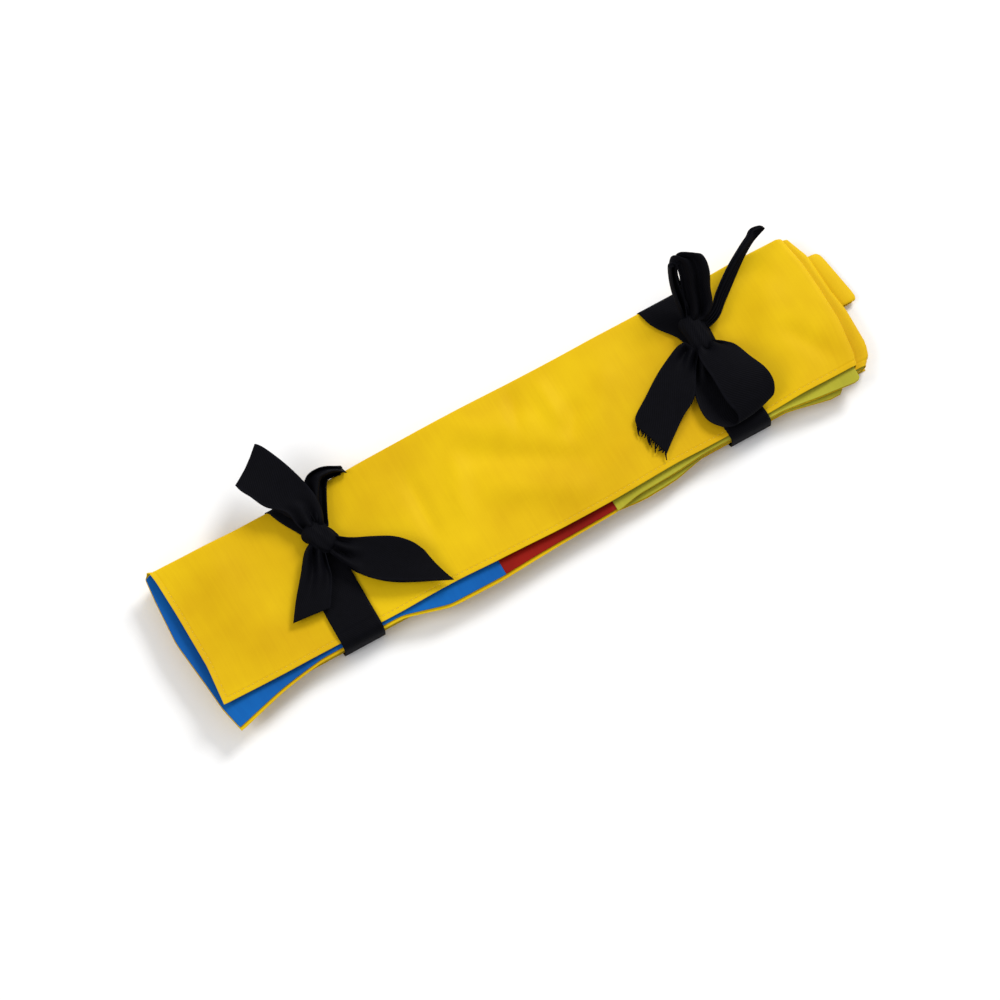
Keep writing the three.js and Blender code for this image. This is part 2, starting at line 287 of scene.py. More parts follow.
@dataclass(frozen=True)
class TwillRibbon:
    """Black cotton twill tape, woven on a narrow loom.

    Diagonal ribs break up its dull sheen, and the bound selvedges on both sides are a little
    denser and catch a thin line of light. That light is also painted in: the rib tops and the
    selvedges are coloured lighter, as a painted highlight.
    """

    name: str = "black_cotton_twill_tape"
    face: str = "040407"
    # The painted highlight's colour, laid on the rib tops and the selvedges.
    rib_highlight: str = "0d0d14"
    # Real ribs are 0.6 mm apart. They are drawn at 1.1 mm, so that they still show.
    rib_spacing: float = 1.1
    rib_angle: float = 58.0
    rib_depth: float = 0.18
    selvedge: float = 1.6
    selvedge_slope: float = 0.3
    highlight_fleck_scale: float = 260.0
    roughness: float = 0.66
    specular: float = 0.05
    sheen: float = 0.01
    sheen_tint: str = "6a6a90"

    def build(self) -> bpy.types.Material:
        """Makes the material: ribs and selvedges, bumped and with a painted highlight, and a broad
        soft sheen.

        Returns:
            The material.
        """
        material, tree = new_material(self.name)
        cloth = add_node(tree, "UVMap", uv_map=WEAVE_MAP).outputs["UV"]
        place = add_node(tree, "TexCoord").outputs["Object"]
        turn = (0.0, 0.0, math.radians(self.rib_angle))
        slant = add_node(tree, "Mapping", Vector=cloth, Rotation=turn)
        ribs = add_node(
            tree, "TexWave", Vector=slant, Distortion=0.6, Detail=2.0,
            Scale=wave_scale(self.rib_spacing), Detail_Scale=3.0,
        )
        across = add_node(tree, "SeparateXYZ", Vector=cloth)
        middle = add_node(
            tree, "Math", operation="SUBTRACT", in_0=across.outputs["Y"],
            in_1=0.5 * RIBBON_WIDTH * MM,
        )
        off = add_node(tree, "Math", operation="ABSOLUTE", in_0=middle)
        bound = 0.5 * RIBBON_WIDTH - self.selvedge
        edge = add_node(
            tree, "MapRange", Value=off, From_Min=bound * MM,
            From_Max=(bound + self.selvedge_slope) * MM,
        )
        relief = add_node(tree, "Math", operation="MAXIMUM", in_0=ribs.outputs["Fac"], in_1=edge)
        # The rib tops and selvedges take the lighter colour, a painted highlight, broken into
        # flecks by this noise.
        highlight_flecks = add_node(tree, "TexNoise", Vector=place, Scale=self.highlight_fleck_scale, Detail=3.0)
        painted_highlight = add_node(tree, "Math", operation="MULTIPLY", in_0=relief, in_1=highlight_flecks)
        colour = blend(tree, painted_highlight, self.face, self.rib_highlight)
        bump = add_node(
            tree, "Bump", Strength=0.45, Distance=self.rib_depth * MM, Height=relief
        )
        shader = add_node(
            tree, "BsdfPrincipled", Base_Color=colour,
            Roughness=self.roughness, IOR=FIBRE_IOR, Specular_IOR_Level=self.specular,
            Sheen_Weight=self.sheen, Sheen_Roughness=0.4,
            Sheen_Tint=linear(self.sheen_tint), Normal=bump,
        )
        add_node(tree, "OutputMaterial", Surface=shader)
        return material


@dataclass(frozen=True)
class SewingThread:
    """Spun polyester sewing thread: two twisted plies, which glint along their turns. The glint on
    the plies and the shade between them are painted into its colour.
    """

    name: str = "yellow_spun_sewing_thread"
    # Painted highlight on the plies' crests, and painted shade in the grooves between them.
    light: str = "f2d42a"
    deep: str = "b98c08"
    twist: float = 0.5
    ply_depth: float = 0.08

    def build(self) -> bpy.types.Material:
        """Makes the material: the plies' twist as a bump, and as a painted highlight and painted
        shade in the colour.

        Returns:
            The material.
        """
        material, tree = new_material(self.name)
        place = add_node(tree, "TexCoord").outputs["Object"]
        plies = add_node(
            tree, "TexWave", Vector=place, Scale=wave_scale(self.twist), Distortion=0.5,
            bands_direction="DIAGONAL",
        )
        # Painted highlight and shade: the colour goes from deep in the grooves to light on the
        # crests.
        colour = blend(tree, plies.outputs["Fac"], self.deep, self.light)
        bump = add_node(
            tree, "Bump", Strength=0.5, Distance=self.ply_depth * MM, Height=plies.outputs["Fac"]
        )
        shader = add_node(
            tree, "BsdfPrincipled", Base_Color=colour, Roughness=0.5,
            IOR=FIBRE_IOR, Sheen_Weight=0.1, Normal=bump,
        )
        add_node(tree, "OutputMaterial", Surface=shader)
        return material


@dataclass(frozen=True)
class PaintedFloor:
    """Matt white board: a plain pale ground with a barely uneven coat."""

    name: str = "matt_white_board"
    light: str = "fbfbfa"
    deep: str = "f6f6f6"

    def build(self) -> bpy.types.Material:
        """Makes the material: white with a faint mottle.

        Returns:
            The material.
        """
        material, tree = new_material(self.name)
        place = add_node(tree, "TexCoord").outputs["Object"]
        mottle = add_node(tree, "TexNoise", Vector=place, Scale=6.0)
        colour = blend(tree, mottle, self.light, self.deep)
        shader = add_node(tree, "BsdfPrincipled", Base_Color=colour, Roughness=0.9)
        add_node(tree, "OutputMaterial", Surface=shader)
        return material


class Finish(Enum):
    """The object's finishes, each with the material slot of the record that it stands for."""

    YELLOW = ("yellow_outer_cloth", Poplin("yellow_mercerised_poplin", "e2bc08", "cca004"))
    BLUE = ("blue_lining", Poplin("blue_poplin_lining", "0a63b2", "064890"))
    RED = ("red_lining", Poplin("red_poplin_lining", "941406", "740e04"))
    LIME = ("lime_lining", Poplin("lime_poplin_lining", "beb936", "9c9628"))
    THREAD = ("hem_thread", SewingThread())
    RIBBON = ("black_ribbon", TwillRibbon())

    @property
    def slot(self) -> str:
        """The record's material slot."""
        return self.value[0]

    def material(self) -> bpy.types.Material:
        """The finish's material, made on first use."""
        recipe = self.value[1]
        return bpy.data.materials.get(recipe.name) or recipe.build()


# ---- Surfaces to meshes -------------------------------------------------------------------


def grid_normals(points: np.ndarray, closed: bool = False) -> np.ndarray:
    """Finds unit normals from the directions along and across a grid.

    Args:
        points: The grid's places.
        closed: Whether its last row joins its first.

    Returns:
        One normal for each point.
    """
    if closed:
        step = np.roll(points, -1, axis=0) - np.roll(points, 1, axis=0)
    else:
        step = np.gradient(points, axis=0)
    cross = np.cross(step, np.gradient(points, axis=1))
    return cross / np.maximum(np.linalg.norm(cross, axis=2, keepdims=True), 1e-9)


@dataclass
class Sheet:
    """A thin cloth sheet: a grid of points along and across it, and its thickness."""

    name: str
    points: np.ndarray
    thickness: float
    closed: bool = False
    along: np.ndarray | None = None
    across: np.ndarray | None = None

    def spans(self) -> tuple[np.ndarray, np.ndarray]:
        """Tells how far the grid's points are along and across the flat cloth.

        Returns:
            A distance for each row, and one for each column. Those that weren't given are
            measured on the grid.
        """
        steps = np.linalg.norm(np.diff(self.points, axis=0), axis=2).mean(axis=1)
        widths = np.linalg.norm(np.diff(self.points, axis=1), axis=2).mean(axis=0)
        along = running_length(steps) if self.along is None else self.along
        across = running_length(widths) if self.across is None else self.across
        return along, across

    def build(self, finish: Finish, shift: np.ndarray) -> bpy.types.Object:
        """Makes the closed mesh: both faces of the cloth and its cut edges.

        Args:
            finish: What the cloth is made of.
            shift: Where the bundle's own frame lies in the object's frame.

        Returns:
            The mesh object.
        """
        rows, columns = self.points.shape[:2]
        offset = grid_normals(self.points, self.closed) * self.thickness / 2
        both = np.concatenate([self.points + offset, self.points - offset])
        vertices = (both.reshape(-1, 3) + shift) * MM
        index = np.arange(2 * rows * columns).reshape(2, rows, columns)
        faces: list[tuple[int, ...]] = []
        rounds = rows if self.closed else rows - 1
        for r in range(rounds):
            n = (r + 1) % rows
            top, low, top_n, low_n = index[0, r], index[1, r], index[0, n], index[1, n]
            for c in range(columns - 1):
                faces.append((top[c], top_n[c], top_n[c + 1], top[c + 1]))
                faces.append((low[c], low[c + 1], low_n[c + 1], low_n[c]))
            faces.append((top[0], low[0], low_n[0], top_n[0]))
            faces.append((top[-1], top_n[-1], low_n[-1], low[-1]))
        if not self.closed:
            (top, low), (top_n, low_n) = index[:, 0], index[:, -1]
            for c in range(columns - 1):
                faces.append((top[c], top[c + 1], low[c + 1], low[c]))
                faces.append((top_n[c], low_n[c], low_n[c + 1], top_n[c + 1]))
        along, across = self.spans()
        grid = np.stack(np.meshgrid(along, across, indexing="ij"), axis=-1).reshape(-1, 2) * MM
        return mesh_object(self.name, vertices, faces, finish, np.concatenate([grid, grid]))


@dataclass
class Tubes:
    """Many short rounded threads, gathered into one mesh."""

    sides: int = 6
    blocks: list[np.ndarray] = field(default_factory=list)
    faces: list[tuple[int, ...]] = field(default_factory=list)
    count: int = 0

    def add(self, line: np.ndarray, radii: np.ndarray, outward: np.ndarray) -> None:
        """Adds one thread.

        Args:
            line: Places along its middle.
            radii: Its radius at each place.
            outward: A direction across it, which its rings are laid out from.
        """
        ahead = line[-1] - line[0]
        side = np.cross(outward, ahead)
        side /= np.linalg.norm(side)
        turn = np.linspace(0.0, 2 * math.pi, self.sides, endpoint=False)
        ring = np.outer(np.cos(turn), side) + np.outer(np.sin(turn), outward)
        self.blocks.append((line[:, None] + ring[None] * radii[:, None, None]).reshape(-1, 3))
        sides, base = self.sides, self.count
        for r in range(len(line) - 1):
            for i in range(sides):
                a, n = base + r * sides + i, base + r * sides + (i + 1) % sides
                self.faces.append((a, n, n + sides, a + sides))
        last = base + (len(line) - 1) * sides
        self.faces.append(tuple(base + i for i in reversed(range(sides))))
        self.faces.append(tuple(last + i for i in range(sides)))
        self.count += len(line) * sides

    def build(self, name: str, finish: Finish, shift: np.ndarray) -> bpy.types.Object:
        """Makes the mesh object from all the threads added so far."""
        return mesh_object(name, (np.concatenate(self.blocks) + shift) * MM, self.faces, finish)


def mesh_object(
    name: str,
    vertices: np.ndarray,
    faces: Iterable[Sequence[int]],
    finish: Finish,
    cloth_places: np.ndarray | None = None,
) -> bpy.types.Object:
    """Makes a smooth-shaded object from vertices and faces.

    Args:
        name: The piece's name.
        vertices: Places in metres, one row each.
        faces: Vertex numbers, one sequence for each face.
        finish: What it is made of.
        cloth_places: Where on the flat cloth each vertex lies, in metres.

    Returns:
        The object, in the scene.
    """
    mesh = bpy.data.meshes.new(name)
    mesh.from_pydata(vertices.tolist(), [], [tuple(int(i) for i in face) for face in faces])
    mesh.validate()
    mesh.shade_smooth()
    if cloth_places is not None:
        layer = mesh.uv_layers.new(name=WEAVE_MAP)
        corners = np.empty(len(mesh.loops), np.int32)
        mesh.loops.foreach_get("vertex_index", corners)
        layer.uv.foreach_set("vector", cloth_places[corners].astype(np.float32).ravel())
    mesh.materials.append(finish.material())
    piece = bpy.data.objects.new(name, mesh)
    bpy.context.scene.collection.objects.link(piece)
    return piece


def settle(piece: bpy.types.Object, body: str, finish: Finish, *nodes: str) -> bpy.types.Object:
    """Puts a piece on its body, and in place of its CAD nodes.

    Args:
        piece: The finished object.
        body: The CAD body it moves with.
        finish: What it is made of. Not used.
        nodes: The CAD nodes it stands for, if there are any.

    Returns:
        The same piece.
    """
    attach(piece, body)
    if nodes:
        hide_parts(*nodes)
    LOG.info("%s rides on %s, %d faces", piece.name, body, len(piece.data.polygons))
    return piece


# ---- The bundle's shape -------------------------------------------------------------------


@dataclass(frozen=True)
class Crease:
    """One soft ridge in the top of the bundle."""

    x: float
    y: float
    angle: float
    length: float
    width: float
    height: float

    def lift(self, x: np.ndarray, y: np.ndarray) -> np.ndarray:
        """Tells how much the ridge lifts the cloth.

        Args:
            x: Places along the bundle.
            y: The same places across it.

        Returns:
            The lift at each place.
        """
        turn = math.radians(self.angle)
        along = (x - self.x) * math.cos(turn) + (y - self.y) * math.sin(turn)
        aside = (y - self.y) * math.cos(turn) - (x - self.x) * math.sin(turn)
        fade = np.exp(-((along / self.length) ** 4))
        return self.height * fade * np.exp(-((aside / self.width) ** 2))


@dataclass
class Bundle:
    """The folded bundle: its runs, the squeeze of the ties, and the creases over its top."""

    left: float = -200.0
    run_right: float = 197.5
    inner_left: float = -194.0
    last_right: float = 206.0
    fold_y: float = 42.5
    runs: int = 5
    outer_thickness: float = 0.5
    lining_thickness: float = 0.4
    ply_gap: float = 0.38
    ties: tuple[float, float] = (-114.5, 126.0)
    squeeze: float = 0.84
    squeeze_half: float = 23.5
    squeeze_fade: float = 28.0
    corner_lead: float = 4.0
    # Where the swells die out towards the bundle's ends.
    end_fade: tuple[float, float] = (198.0, 214.0)
    swell_heights: tuple[float, float] = (0.5, 0.35)
    wander: float = 0.5
    creases: tuple[Crease, ...] = (
        Crease(16, -1, -30, 38, 6, -2.0),
        Crease(11, -20, -28, 30, 8, 2.3),
        Crease(6, 24, -20, 22, 8, 1.9),
        Crease(21, 26, 70, 13, 4, -1.9),
        Crease(40, 22, 90, 14, 5, 2.0),
        Crease(47, 6, 54, 12, 5, -1.9),
        Crease(-50, 3, 86, 20, 5, -1.9),
        Crease(-27, 4, 66, 18, 6, 2.0),
        Crease(66, 8, 50, 18, 7, 1.6),
        Crease(62, -24, 20, 18, 6, 1.1),
        Crease(172, 32, 0, 14, 6, -1.9),
        Crease(183, -18, -60, 16, 5, -1.6),
        Crease(170, 8, 40, 18, 7, 1.4),
        Crease(-172, 10, 78, 26, 10, 1.1),
        Crease(-160, -18, 30, 20, 7, 0.9),
    )

    @property
    def run_thickness(self) -> float:
        """Height of one run: two plies of outer cloth and two of lining."""
        return 2 * (self.outer_thickness + self.ply_gap + self.lining_thickness) + self.ply_gap

    @property
    def pitch(self) -> float:
        """Height from one run to the next."""
        return self.run_thickness + self.ply_gap

    @property
    def height(self) -> float:
        """Height of the whole bundle."""
        return self.runs * self.pitch - self.ply_gap

    @property
    def shift(self) -> np.ndarray:
        """Where the bundle's own frame lies in the object's frame, from the top run's box.

        Returns:
            Its origin, in millimetres.
        """
        low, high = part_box("outer_cloth_run_1")
        leftmost = self.left - self.corner_lead
        return np.array([low.x / MM - leftmost, high.y / MM - self.fold_y, 0.0])

    def tieness(self, x: np.ndarray, half: float | None = None) -> np.ndarray:
        """Tells how firmly the ties hold the bundle.

        Args:
            x: Places along the bundle.
            half: How far to each side a tie holds it in full.

        Returns:
            1 under a tie and where it can slide, 0 in the open, smooth in between.
        """
        reach = self.squeeze_half if half is None else half
        left, right = (
            1 - smoothstep(np.abs(x - tie) - reach, 0.0, self.squeeze_fade) for tie in self.ties
        )
        return np.maximum(left, right)

    def shape(self, points: np.ndarray) -> np.ndarray:
        """Squeezes and creases places in the evenly stacked bundle.

        Every ply goes through this one smooth change, so none of them cross.

        Args:
            points: Places in the evenly stacked bundle, with the last axis x, y and z.

        Returns:
            The places in the tied bundle.
        """
        x, y, z = points[..., 0], points[..., 1], points[..., 2]
        middle = self.height / 2
        tied = self.tieness(x)
        flat = middle + (z - middle) * (1 - (1 - self.squeeze) * tied)
        lift = sum(crease.lift(x, y) for crease in self.creases)
        broad, narrow = self.swell_heights
        lift = lift + broad * np.sin(x / 31.0 + 0.6) * np.cos(y / 24.0)
        lift = lift + narrow * np.sin(x / 13.0 + y / 17.0)
        open_part = (1 - tied) * (1 - smoothstep(np.abs(x), *self.end_fade))
        depth = np.clip(z / self.height, 0.0, 1.2) ** 1.4
        aside = self.wander * np.sin(x / 27.0 + z) * (1 - tied) * depth
        return np.stack([x, y + aside, flat + lift * open_part * depth], axis=-1)


Hem = tuple[tuple[float, float], ...]


@dataclass
class SashPath:
    """The way of the doubled sash through the bundle, seen from the side.

    Each entry of the arrays is one station along the sash: its place in x and z, the direction
    that the sash's upper face looks in, and how far its two leaves reach towards the open side.
    """

    bundle: Bundle
    step: float = 2.6
    hidden_step: float = 6.5
    turn_steps: int = 9
    # The hems' corners are rounded over this many millimetres.
    hem_blur: int = 11
    # Right-hand turns telescope: how far each bends past the end of the runs.
    reaches: tuple[float, ...] = (1.1, 0.3, 9.3, 0.3)
    # Where the two leaves' hems lie in each run, as (x, y). In every second run, the leaf that
    # starts on top lies below.
    first_hem: tuple[Hem, ...] = (
        ((-200, -43.6), (-128, -43.2), (-99, -43.8), (-53, -44.4), (-32, -45.4), (7, -46.0),
         (44, -45.8), (85, -44.6), (118, -44.4), (144, -44.2), (198, -43.4)),
        ((-190, -46.0), (-90, -46.0), (-60, -48.5), (43, -50.5), (58, -52.6), (80, -51.6),
         (100, -46.8), (151, -46.8), (178, -52.6), (186, -53.6), (189, -50.0), (195, -44.0)),
        ((-190, -45.0), (195, -44.5)),
        ((-190, -45.0), (195, -45.0)),
        ((-190, -44.0), (205, -44.0)),
    )
    second_hem: tuple[Hem, ...] = (
        ((-200, -59.6), (-184, -55.8), (-168, -51.9), (-150, -48.4), (-140, -46.9),
         (-90, -46.9), (-64, -54.4), (-31, -55.3), (3, -53.6), (43, -52.2), (49, -50.9),
         (57, -49.3), (84, -48.0), (100, -46.6), (152, -46.6), (172, -50.0), (199, -52.6)),
        ((-190, -46.0), (199, -46.6)),
        ((-190, -45.5), (195, -45.5)),
        ((-190, -44.5), (195, -44.5)),
        ((-190, -45.0), (205, -45.0)),
    )
    x: np.ndarray = field(init=False)
    z: np.ndarray = field(init=False)
    up: np.ndarray = field(init=False)
    run: np.ndarray = field(init=False)

    def __post_init__(self) -> None:
        """Lays the runs and turns end to end."""
        b = self.bundle
        xs: list[float] = []
        zs: list[float] = []
        ups: list[tuple[float, float]] = []
        runs: list[float] = []
        for k in range(b.runs):
            level = b.height - k * b.pitch - b.run_thickness / 2
            rightward = k % 2 == 0
            start = b.left if k == 0 else self.bend(k - 1)
            end = b.last_right if k == b.runs - 1 else self.bend(k)
            count = round(abs(end - start) / (self.step if k == 0 else self.hidden_step))
            for x in np.linspace(start, end, count + 1):
                xs.append(float(x))
                zs.append(level)
                ups.append((0.0, 1.0 if rightward else -1.0))
                runs.append(float(k))
            if k == b.runs - 1:
                continue
            side = 1.0 if rightward else -1.0
            for i in range(1, self.turn_steps):
                angle = math.pi * i / self.turn_steps
                xs.append(end + side * b.pitch / 2 * math.sin(angle))
                zs.append(level - b.pitch / 2 * (1 - math.cos(angle)))
                ups.append((math.sin(angle), side * math.cos(angle)))
                runs.append(k + i / self.turn_steps)
        self.x = np.array(xs)
        self.z = np.array(zs)
        self.up = np.array(ups)
        self.run = np.array(runs)
        # The upper face looks outwards round a left-hand turn too.
        left_turn = (self.run % 2 > 1) & (self.run % 1 > 0)
        self.up[left_turn, 0] *= -1

    def bend(self, index: int) -> float:
        """Finds where the turn after a run starts to bend.

        Args:
            index: The run, counted from the top.

        Returns:
            The place in x.
        """
        b = self.bundle
        if index % 2 == 0:
            return b.run_right + self.reaches[index]
        return b.inner_left - self.reaches[index]

    def along(self) -> np.ndarray:
        """Length along the sash at each station."""
        return running_length(np.hypot(np.diff(self.x), np.diff(self.z)))

    def reach(self, second: bool) -> np.ndarray:
        """How far one leaf's hem reaches towards the open side, at each station.

        Args:
            second: Whether it is the leaf that starts below.

        Returns:
            The hem's y at each station.
        """
        b = self.bundle
        along = self.along()
        hems = self.second_hem if second else self.first_hem
        rows = [np.interp(self.x, *np.array(hem).T) for hem in hems]
        weights = 1 - smoothstep(np.abs(self.run - np.arange(b.runs)[:, None]), 0.0, 1.0)
        reach = (weights * np.array(rows)).sum(axis=0) / weights.sum(axis=0)
        even = np.arange(0.0, along[-1], 1.0)
        blur = np.hanning(self.hem_blur)
        padded = np.pad(np.interp(even, along, reach), self.hem_blur // 2, mode="edge")
        return np.interp(along, even, np.convolve(padded, blur / blur.sum(), "valid"))


@dataclass
class FoldedPly:
    """One ply of the sash: the outer cloth, or a panel of lining inside it."""

    path: SashPath
    depth: float
    thickness: float
    hem_inset: float
    # Rows and columns lie closer together near an edge, to carry the hem and its stitching.
    edge_marks: tuple[float, ...] = (0.0, 0.25, 0.8, 1.5, 2.2, 2.7, 3.0, 3.3, 3.8, 4.5, 6.0)
    row_gap: float = 0.4
    tuck: float = 0.9
    leaf_steps: int = 22
    fold_steps: int = 10
    # How far the cloth's ends lie from a straight line across the bundle, as (y, x).
    upper_end: Hem = ((-43.5, 0.5), (-20, 2.7), (15, 2.4), (36, 1.6), (42, 0.8))
    lower_end: Hem = ((-60, 2.4), (-44, -1.2), (-28, -2.6), (1, -5.5), (28, -3.9), (42, -2.5))
    top_turn: Hem = ((-43.5, -1.7), (-37, 0.8), (-15, 3.8), (9, 3.6), (23, 2.9), (42, -0.1))
    inner_turn: Hem = (
        (-44, -4.0), (-40, 0.5), (-33, 2.9), (-11, 3.5), (3, 1.8), (27, 1.1), (40, -3.5)
    )
    # How far the free end's and the turns' outlines carry into the bundle.
    free_fade: float = 55.0
    turn_fade: tuple[float, float] = (165.0, 200.0)
    # How far the top leaf stands off along its hem, and at the free end.
    hem_gape: float = 1.7
    free_gape: float = 1.1
    free_reach: float = 26.0
    hem_fade: tuple[float, float] = (-44.0, -18.0)
    right_fade: tuple[float, float] = (168.0, 196.0)
    tie_reach: float = 15.0

    def grid(self, low: float, high: float) -> tuple[np.ndarray, np.ndarray, np.ndarray]:
        """Lays the ply through the bundle.

        Args:
            low: Where along the sash the ply starts.
            high: Where it ends.

        Returns:
            The places of the grid, and how far its rows and columns are along and across
            the flat cloth.
        """
        path, b = self.path, self.path.bundle
        along = path.along()
        marks = low + np.array(self.edge_marks)
        keep = (along > marks[-1] + self.row_gap) & (along < high - self.row_gap)
        rows = np.concatenate([marks, along[keep], [high]])
        x = np.interp(rows, along, path.x)
        z = np.interp(rows, along, path.z)
        up = np.column_stack([np.interp(rows, along, path.up[:, i]) for i in (0, 1)])
        up /= np.linalg.norm(up, axis=1, keepdims=True)
        run = np.interp(rows, along, path.run)
        first = np.interp(rows, along, path.reach(False)) + self.hem_inset
        second = np.interp(rows, along, path.reach(True)) + self.hem_inset
        half = b.run_thickness / 2 - self.depth
        tuck = self.tuck * np.abs(np.sin(1.9 * run))
        centre = b.fold_y - b.run_thickness / 2 - tuck

        sides = list(self.section(first, second, centre, half))
        y = np.stack([side[0] for side in sides], axis=1)
        h = np.stack([side[1] for side in sides], axis=1)
        x_grid = x[:, None] + up[:, :1] * h + self.skew(x, y, (h / half + 1) / 2, run)
        top_leaf = (h > 0) & (run < 0.5)[:, None]
        z_grid = z[:, None] + up[:, 1:] * h
        places = b.shape(np.stack([x_grid, y, z_grid], axis=-1))
        places[..., 2] += top_leaf * self.mouth(x_grid, y)
        steps = np.linalg.norm(np.diff(places[len(rows) // 3], axis=0), axis=1)
        return places, rows, running_length(steps)

    def skew(
        self, x: np.ndarray, y: np.ndarray, upper: np.ndarray, run: np.ndarray
    ) -> np.ndarray:
        """Finds how far the free end and the turns lie from straight across the bundle.

        Args:
            x: Each row's place along the bundle.
            y: The grid's places across it.
            upper: 1 in the upper leaf, 0 in the lower one.
            run: The run that each row is in, with fractions in the turns.

        Returns:
            What to add to x, over the grid.
        """
        free = (run == 0) * (1 - smoothstep(x - self.path.bundle.left, 0.0, self.free_fade))
        turned = smoothstep(x, *self.turn_fade)
        tucked = turned * (run > 1.5) * (run < 3.5)
        shares = (
            (free[:, None] * upper, self.upper_end),
            (free[:, None] * (1 - upper), self.lower_end),
            ((turned * (run < 1.5))[:, None], self.top_turn),
            (tucked[:, None], self.inner_turn),
        )
        return sum(share * np.interp(y, *np.array(outline).T) for share, outline in shares)

    def mouth(self, x: np.ndarray, y: np.ndarray) -> np.ndarray:
        """Finds how far the top leaf stands off the leaf below it.

        Args:
            x: Places along the bundle.
            y: The same places across it.

        Returns:
            The height of the gap at each place.
        """
        b = self.path.bundle
        near = 1 - smoothstep(y, *self.hem_fade)
        free = 1 - smoothstep(x, b.left, b.left + self.free_reach)
        loose = 1 - b.tieness(x, self.tie_reach)
        ripple = 0.75 + 0.25 * np.sin(x / 21.0 + 1.0)
        end = 1 - smoothstep(x, *self.right_fade)
        along_hem = self.hem_gape * near * loose * ripple * end
        return along_hem + self.free_gape * free * loose * (1 - 0.4 * near)

    def section(
        self, first: np.ndarray, second: np.ndarray, centre: np.ndarray, half: float
    ) -> Iterable[tuple[np.ndarray, np.ndarray]]:
        """Steps across the folded sash, from one hem round the fold to the other.

        Args:
            first: The first leaf's hem at each station.
            second: The second leaf's hem at each station.
            centre: The middle of the lengthwise fold.
            half: The ply's distance from the middle of the doubled sash.

        Yields:
            The y and the offset from the middle, at each station.
        """
        ease = np.linspace(0.0, 1.0, self.leaf_steps + 1)[1:]
        for mark in self.edge_marks:
            yield first + mark, np.full_like(first, half)
        start = first + self.edge_marks[-1]
        for part in ease:
            yield start + (centre - start) * part, np.full_like(first, half)
        for i in range(1, self.fold_steps):
            angle = math.pi / 2 - math.pi * i / self.fold_steps
            yield centre + half * math.cos(angle), np.full_like(first, half * math.sin(angle))
        start = second + self.edge_marks[-1]
        for part in ease[::-1]:
            yield start + (centre - start) * part, np.full_like(first, -half)
        for mark in self.edge_marks[::-1]:
            yield second + mark, np.full_like(first, -half)


